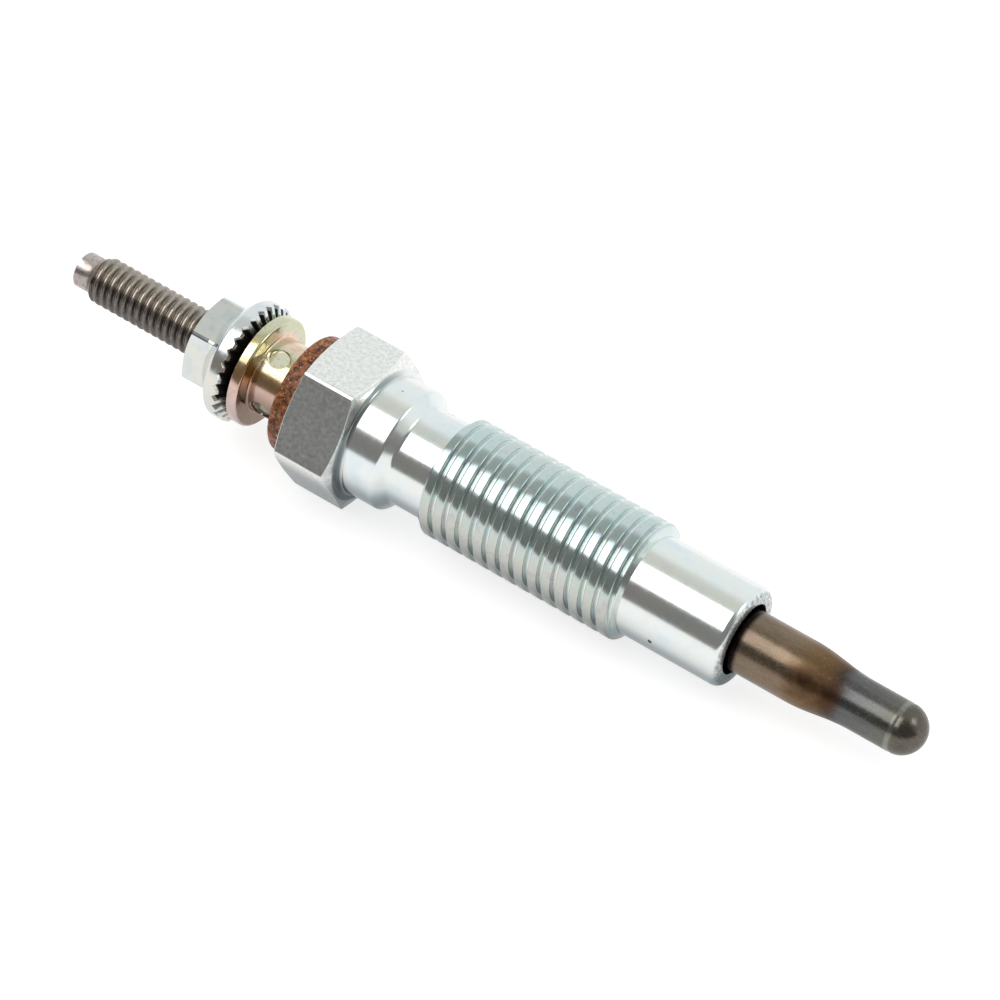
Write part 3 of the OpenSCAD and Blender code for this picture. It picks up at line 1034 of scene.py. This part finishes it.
def rod_steel():
    """Dull rolled steel: brown in the thread roots, worn bright on the crests, paler on the slotted point,
    with painted shade on its lower side.
    """
    material, tree, shader, coords = new_finish("rod steel")
    station, radius = use_group(tree, "place", coords)
    dirt = noise(tree, coords, 2200, 5, 0.65)
    uneven = plus(tree, radius, times(tree, dirt, 0.1))
    colour = ramp(tree, fade(tree, uneven, ROD_R / MM - 0.34, ROD_R / MM + 0.04), [
        (0.0, (0.33, 0.285, 0.245)),
        (0.5, (0.31, 0.267, 0.23)),
        (0.8, (0.29, 0.255, 0.222)),
        (1.0, (0.40, 0.36, 0.315)),
    ])
    point = fade(tree, station, DOG_SHOULDER / MM + 0.1, DOG_SHOULDER / MM - 0.1)
    colour = blend(tree, point, colour, (0.52, 0.45, 0.42))
    colour = blend(tree, fade(tree, dirt, 0.48, 0.72, 0, 0.55), colour, (0.11, 0.09, 0.075))
    # painted shade: the rod's lower side darkened, less so on the dog point
    painted_underside_shade = facing(tree, coords, radius, LOWER_TURN, -0.1, 0.5)
    painted_underside_shade = times(tree, painted_underside_shade, fade(tree, point, 0, 1, 1, 0.3))
    colour = blend(tree, painted_underside_shade, colour, (0.46, 0.46, 0.49), "MULTIPLY")
    rough = fade(tree, dirt, 0.3, 0.7, 0.2, 0.34)
    make_metal(tree, shader, colour, rough, bump(tree, dirt, ROD_GRAIN))
    return material


def nut_zinc():
    """White zinc on the nut, with painted shade on its crown, dark in its notches and all over on one side,
    a painted dark reflection along one side's corners and painted shade on its lower side.
    """
    material, tree, shader, coords = new_finish("nut zinc")
    station, radius = use_group(tree, "place", coords)
    mottle, haze = use_group(tree, "mottle", coords)
    clouds = noise(tree, coords, 900, 4)
    tint = ramp(tree, clouds, [
        (0.35, (0.64, 0.69, 0.73)),
        (0.5, (0.76, 0.78, 0.79)),
        (0.65, (0.82, 0.81, 0.75)),
    ])
    # painted shade: the crown made nearly black in its notches and all over on one side, inside the rim,
    # and greyer at its bottom
    on_crown = fade(tree, station, RIM_BACK / MM + 0.6, RIM_BACK / MM + 0.7)
    inside_rim = fade(tree, radius, FLANGE_R / MM - 0.18, FLANGE_R / MM - 0.3)
    slope = plus(tree, station, times(tree, radius, math.tan(CROWN_SLOPE)))
    surface = (RIM_FRONT + FLANGE_R * math.tan(CROWN_SLOPE)) / MM
    notch = fade(tree, slope, surface - 0.02, surface - 0.12)
    crown_shade_side = facing(tree, coords, radius, CROWN_SHADE_TURN, 0.70, 0.82)
    under = facing(tree, coords, radius, CROWN_LOWER_TURN, 0.80, 0.95)
    black = add(tree, "ShaderNodeMath", {0: notch, 1: crown_shade_side}, operation="MAXIMUM").outputs[0]
    black = times(tree, black, fade(tree, under, 0, 1, 1, 0.55), on_crown, inside_rim)
    colour = blend(tree, 0.3, tint, mottle)
    # painted shade: the nut's lower side a little darker and warmer
    painted_shade_below = facing(tree, coords, radius, NUT_LOWER_TURN, -0.1, 0.1)
    warm = blend(tree, painted_shade_below, (0.97, 0.98, 1.0), (0.93, 0.91, 0.86))
    colour = blend(tree, fade(tree, clouds, 0.3, 0.6, 0.6, 1.0), colour, warm, "MULTIPLY")
    # painted reflection: a dark line along the hexagon's corners on one side
    painted_corner_reflection = times(
        tree,
        fade(tree, radius, NUT_CORNER_R / MM - 0.03, NUT_CORNER_R / MM - 0.01),
        fade(tree, station, SKIRT_BACK / MM + 0.02, SKIRT_BACK / MM - 0.05),
        facing(tree, coords, radius, NUT_CORNER_TURN, 0.8, 0.9),
        fade(tree, clouds, 0.36, 0.5),
    )
    colour = blend(tree, painted_corner_reflection, colour, (0.13, 0.135, 0.145))
    # lay the painted shade on the crown
    colour = blend(tree, times(tree, black, 0.98), colour, (0.010, 0.010, 0.010))
    rough = fade(tree, haze, 0.3, 0.7, 0.15, 0.24)
    rough = plus(tree, rough, times(tree, black, 0.3))
    make_metal(tree, shader, colour, rough, bump(tree, clouds, NUT_GRAIN))
    return material


def yellow_zinc():
    """Yellow passivated zinc, its tints laid round the ring by the way each side faces as painted
    reflections: pale green and gold above, a pale painted highlight, brown painted shade across the middle
    and pink on the lower side.
    """
    material, tree, shader, coords = new_finish("yellow zinc")
    radius = use_group(tree, "place", coords)["Radius"]
    lines = use_group(tree, "lines", coords)["Height"]
    # painted reflections: tints laid round the ring by the way each side faces, a pale painted highlight
    # among them and brown painted shade across the middle
    drift = noise(tree, coords, 620, 3)
    height = facing(tree, coords, radius, UPPER_TURN, -1.25, 1.25)
    height = plus(tree, height, times(tree, drift, 0.4))
    colour = ramp(tree, height, [
        (0.26, (0.56, 0.46, 0.44)),
        (0.38, (0.70, 0.50, 0.46)),
        (0.47, (0.58, 0.38, 0.28)),
        (0.56, (0.55, 0.34, 0.16)),
        (0.65, (0.64, 0.46, 0.26)),
        (0.74, (0.84, 0.76, 0.55)),
        (0.85, (0.72, 0.63, 0.38)),
        (0.94, (0.62, 0.57, 0.37)),
        (1.0, (0.64, 0.64, 0.47)),
    ])
    waist_r = RING_WAIST_R / MM
    waist = fade(tree, radius, waist_r + 0.6, waist_r + 0.3)
    top = facing(tree, coords, radius, UPPER_TURN, 0.55, 0.85)
    colour = blend(tree, times(tree, waist, top), colour, (0.82, 0.62, 0.50))
    # painted shade: the flange's front face darkened inside its rim on the lower side
    inside_rim = times(
        tree,
        fade(tree, radius, RING_R / MM - 0.05, RING_R / MM - 0.3),
        facing(tree, coords, radius, LOWER_TURN, 0.3, 0.85),
        0.85,
    )
    colour = blend(tree, inside_rim, colour, (0.24, 0.155, 0.115))
    floor = fade(tree, radius, waist_r - 0.1, waist_r - 0.2)
    colour = blend(tree, times(tree, floor, 0.9), colour, (0.97, 0.98, 0.80))
    # painted shade: the crimp marks' floors darkened on the lower side
    painted_shade_below = facing(tree, coords, radius, LOWER_TURN, 0.3, 0.7)
    colour = blend(tree, times(tree, floor, painted_shade_below), colour, (0.28, 0.28, 0.23))
    patches = noise(tree, coords, 2400, 4)
    colour = blend(tree, fade(tree, patches, 0.5, 0.75, 0, 0.4), colour, (0.48, 0.36, 0.16))
    rough = fade(tree, patches, 0.3, 0.7, 0.13, 0.22)
    make_metal(tree, shader, colour, rough, bump(tree, lines, RING_LINES))
    return material


def phenolic():
    """Moulded phenolic: orange brown, full of dark and pale grains."""
    material, tree, shader, coords = new_finish("phenolic")
    grains = noise(tree, coords, 2100, 4, 0.65)
    flecks = noise(tree, coords, 5200, 3, 0.6)
    colour = ramp(tree, grains, [
        (0.36, (0.028, 0.008, 0.004)),
        (0.45, (0.13, 0.040, 0.012)),
        (0.54, (0.25, 0.082, 0.026)),
        (0.66, (0.40, 0.165, 0.058)),
    ])
    colour = blend(tree, fade(tree, flecks, 0.58, 0.68, 0, 0.6), colour, (0.62, 0.37, 0.20))
    tree.links.new(colour, shader["Base Color"])
    tree.links.new(fade(tree, grains, 0.3, 0.7, 0.5, 0.3), shader["Roughness"])
    tree.links.new(bump(tree, grains, BUSH_GRAIN), shader["Normal"])
    shader["Specular IOR Level"].default_value = 0.3
    return material


def tinted_sheath():
    """Heat tinted tube: nearly black next to the shell, bronze to the taper, red brown at its end, with a
    patch of painted shade on one side there, then grey.
    """
    material, tree, shader, coords = new_finish("tinted sheath")
    station, radius = use_group(tree, "place", coords)
    streaks = noise(tree, stretched(tree, coords, 500, 2600), 1, 5, 0.6)
    clouds = noise(tree, coords, 420, 3)
    grain = noise(tree, coords, 5200, 4, 0.7)
    wander = plus(tree, station, times(tree, clouds, 2.0))
    face = FACE / MM
    share = fade_straight(tree, wander, face + 1.0, SHEATH_END / MM + 1.0)
    colour = ramp(tree, share, [
        (0.0, (0.20, 0.155, 0.115)),
        (0.25, (0.24, 0.175, 0.12)),
        (0.38, (0.20, 0.125, 0.06)),
        (0.49, (0.15, 0.085, 0.038)),
        (0.545, (0.075, 0.055, 0.045)),
        (0.59, (0.125, 0.128, 0.132)),
        (0.75, (0.145, 0.148, 0.142)),
        (0.86, (0.155, 0.152, 0.13)),
        (0.93, (0.13, 0.118, 0.10)),
        (1.0, (0.15, 0.128, 0.115)),
    ])
    dome = DOME / MM
    weld = between(tree, station, (dome - 0.5, dome - 0.25), (dome + 0.15, dome - 0.1))
    colour = blend(tree, times(tree, weld, 0.6), colour, (0.36, 0.36, 0.32))
    colour = blend(tree, fade(tree, streaks, 0.4, 0.7, 0, 0.25), colour, (0.06, 0.045, 0.035))
    colour = blend(tree, fade(tree, grain, 0.52, 0.7, 0, 0.3), colour, (0.34, 0.30, 0.26))
    # nearly black next to the shell's face
    dark_next_to_face = plus(tree, station, times(tree, clouds, 0.3))
    colour = blend(tree, fade(tree, dark_next_to_face, face + 0.95, face + 0.5), colour, (0.012, 0.008, 0.006))
    oxide = between(
        tree,
        wander,
        (TAPER / MM - 0.9, TAPER / MM + 0.9),
        (TIP / MM + 1.4, TIP / MM + 0.4),
    )
    # painted shade: a dark red-brown patch on the oxide, on one side
    oxide_shade_side = facing(tree, coords, radius, OXIDE_SHADE_TURN, 0.75, 1.0)
    painted_oxide_shade = times(tree, oxide, oxide_shade_side, fade(tree, clouds, 0.3, 0.6))
    colour = blend(tree, painted_oxide_shade, colour, (0.085, 0.045, 0.026))
    rough = fade(tree, grain, 0.3, 0.7, 0.2, 0.32)
    rough = plus(tree, rough, times(tree, oxide, 0.1))
    make_metal(tree, shader, colour, rough, bump(tree, grain, SHEATH_GRAIN))
    return material


# Finishes of the pieces inside

def inner_finish(name, dark, light, scale, roughness, metallic):
    """A plain grainy finish between two shades, for a piece that is hidden inside the plug."""
    material, tree, shader, coords = new_finish(name)
    grains = noise(tree, coords, scale, 4)
    tree.links.new(ramp(tree, grains, [(0.35, dark), (0.65, light)]), shader["Base Color"])
    tree.links.new(bump(tree, grains, INNER_GRAIN), shader["Normal"])
    shader["Roughness"].default_value = roughness
    shader["Metallic"].default_value = metallic
    return material


def dress_inner_pieces():
    """Give the hidden solids their finishes."""
    rubber = inner_finish("black rubber", (0.012, 0.012, 0.012), (0.03, 0.03, 0.03), 3000, 0.7, 0)
    powder = inner_finish("oxide powder", (0.70, 0.69, 0.65), (0.86, 0.85, 0.82), 5000, 0.9, 0)
    wire = inner_finish("coil wire", (0.42, 0.39, 0.35), (0.62, 0.58, 0.53), 2500, 0.35, 1)
    finishes = {
        "o_ring": rubber,
        "tube_seal": rubber,
        "insulating_powder": powder,
        "control_coil": wire,
        "heating_coil": wire,
    }
    for node, material in finishes.items():
        solid = bpy.data.objects[node]
        solid.data.materials.clear()
        solid.data.materials.append(material)


# Studio

SOFTBOX_LOW = 42
SOFTBOX_HIGH = 84.8
SOFTBOX_DISTANCE = 1.2
SOFTBOX_LENGTH = 1.7
SOFTBOX_BACK = 0.93
SOFTBOX_GLOW = 2.1
TIP_LAMP = (0.63, 0.27, 0.73)
TIP_LAMP_SIZE = 0.4
TIP_LAMP_GLOW = 2.6
FILL_SIZE = 5
FILL_HEIGHT = 2.5
FILL_GLOW = 0.55
FLOOR_SIZE = 6
FLOOR_GLOW = 0.6
FLOOR_SEEN_GLOW = 0.76
ROOM = [
    (-180, (0.92, 0.92, 0.92)),
    (-4, (0.92, 0.92, 0.92)),
    (0, (0.21, 0.205, 0.195)),
    (40, (0.21, 0.205, 0.195)),
    (84, (0.28, 0.28, 0.27)),
    (88, (0.60, 0.61, 0.56)),
    (112, (0.68, 0.69, 0.64)),
    (126, (0.88, 0.92, 0.92)),
    (180, (0.92, 0.95, 0.95)),
]


def pale_floor():
    """A pale, softly glowing floor that the hexagon and the thread's end lie on."""
    back = Vector((HEX_FRONT, 0, -HEX_FLATS / 2))
    front = Vector((THREAD_MIDDLE + THREAD_HALF, 0, -THREAD_R))
    slope = math.atan2(front.z - back.z, front.x - back.x)
    clear_selection()
    bpy.ops.mesh.primitive_plane_add(size=FLOOR_SIZE, location=back, rotation=(0, -slope, 0))
    floor = bpy.context.object
    floor.name = "floor"
    material, tree, shader, coords = new_finish("pale floor")
    shades = ramp(tree, noise(tree, coords, 40), [(0.3, (0.37, 0.37, 0.37)), (0.7, (0.39, 0.39, 0.39))])
    tree.links.new(shades, shader["Base Color"])
    shader["Emission Color"].default_value = (1, 1, 1, 1)
    seen = add(tree, "ShaderNodeLightPath").outputs["Is Camera Ray"]
    tree.links.new(fade(tree, seen, 0, 1, FLOOR_GLOW, FLOOR_SEEN_GLOW), shader["Emission Strength"])
    shader["Roughness"].default_value = 0.9
    shader["Specular IOR Level"].default_value = 0.1
    floor.data.materials.append(material)


def area_lamp(name, width, depth, glow, middle, towards, across):
    """A rectangular lamp of even glow, its face turned along towards."""
    light = bpy.data.lights.new(name, "AREA")
    light.shape = "RECTANGLE"
    light.size = width
    light.size_y = depth
    light.energy = glow * math.pi * width * depth
    lamp = bpy.data.objects.new(name, light)
    bpy.context.scene.collection.objects.link(lamp)
    turn = Matrix((across, (-towards).cross(across), -towards)).transposed().to_4x4()
    lamp.matrix_world = Matrix.Translation(middle) @ turn
    return lamp


def studio_lamps():
    """A long softbox in front, a small lamp past the tip and a fill that only the matt floor shows."""
    middle = math.radians((SOFTBOX_LOW + SOFTBOX_HIGH) / 2)
    half = math.radians((SOFTBOX_HIGH - SOFTBOX_LOW) / 2)
    outward = Vector((0, -math.cos(middle), math.sin(middle)))
    place = outward * SOFTBOX_DISTANCE + Vector((-SOFTBOX_BACK, 0, 0))
    depth = 2 * SOFTBOX_DISTANCE * math.tan(half)
    across = Vector((1, 0, 0))
    area_lamp("softbox", SOFTBOX_LENGTH, depth, SOFTBOX_GLOW, place, -outward, across)
    beyond = Vector(TIP_LAMP).normalized()
    side = beyond.orthogonal().normalized()
    place = beyond * SOFTBOX_DISTANCE
    area_lamp("tip lamp", TIP_LAMP_SIZE, TIP_LAMP_SIZE, TIP_LAMP_GLOW, place, -beyond, side)
    place = Vector((0, 0, FILL_HEIGHT))
    fill = area_lamp("overhead fill", FILL_SIZE, FILL_SIZE, FILL_GLOW, place, Vector((0, 0, -1)), across)
    fill.visible_glossy = False


def studio_room():
    """A room that is dark in front, beige overhead and white behind, and a white backdrop."""
    world = bpy.data.worlds.new("room")
    bpy.context.scene.world = world
    world.use_nodes = True
    tree = world.node_tree
    tree.nodes.clear()
    direction = add(tree, "ShaderNodeTexCoord").outputs["Generated"]
    parts = add(tree, "ShaderNodeSeparateXYZ", {0: direction}).outputs
    forward = times(tree, parts["Y"], -1.0)
    rise = add(tree, "ShaderNodeMath", {0: parts["Z"], 1: forward}, operation="ARCTAN2").outputs[0]
    share = fade_straight(tree, rise, -math.pi, math.pi)
    glow = ramp(tree, share, [((degrees + 180) / 360, colour) for degrees, colour in ROOM])
    seen = add(tree, "ShaderNodeLightPath").outputs["Is Camera Ray"]
    sky = add(tree, "ShaderNodeBackground", {"Color": blend(tree, seen, glow, (1.0, 1.0, 1.0))})
    add(tree, "ShaderNodeOutputWorld", {"Surface": sky.outputs[0]})
    bpy.context.scene.view_settings.view_transform = "Standard"


AXIS_TO_CAMERA = math.radians(20.3)
CAMERA_RISE = math.radians(48.8)
IMAGE_SLOPE = math.radians(29.3)
CAMERA_DISTANCE = 0.34
PIXEL = MM / 13.12
IMAGE_SIZE = 1000
AIM_STATION = 8.45 * MM
AIM_RIGHT = 1.0 * PIXEL
AIM_UP = 1.6 * PIXEL


def photo_camera():
    """The camera at the photograph's angle, framed for an image 1000 pixels square."""
    outward = Vector((0, -math.cos(CAMERA_RISE), math.sin(CAMERA_RISE)))
    upward = Vector((0, math.sin(CAMERA_RISE), math.cos(CAMERA_RISE)))
    axis = Vector((1, 0, 0))
    back = math.sin(AXIS_TO_CAMERA) * axis + math.cos(AXIS_TO_CAMERA) * outward
    level = math.cos(AXIS_TO_CAMERA) * axis - math.sin(AXIS_TO_CAMERA) * outward
    right = math.cos(IMAGE_SLOPE) * level + math.sin(IMAGE_SLOPE) * upward
    up = -math.sin(IMAGE_SLOPE) * level + math.cos(IMAGE_SLOPE) * upward
    lens = bpy.data.cameras.new("camera")
    lens.sensor_width = 36
    lens.lens = lens.sensor_width * CAMERA_DISTANCE / (IMAGE_SIZE * PIXEL)
    lens.clip_start = 0.01
    lens.clip_end = 20
    camera = bpy.data.objects.new("camera", lens)
    bpy.context.scene.collection.objects.link(camera)
    turn = Matrix((right, up, back)).transposed().to_4x4()
    aim = AIM_STATION * axis + AIM_RIGHT * right + AIM_UP * up
    camera.matrix_world = Matrix.Translation(aim + back * CAMERA_DISTANCE) @ turn
    bpy.context.scene.camera = camera


metal_shell(zinc_plate())
centre_rod(rod_steel())
terminal_nut(nut_zinc())
pressing_ring(yellow_zinc())
insulating_bush(phenolic())
sheath_tube(tinted_sheath())
dress_inner_pieces()
pale_floor()
studio_lamps()
studio_room()
photo_camera()
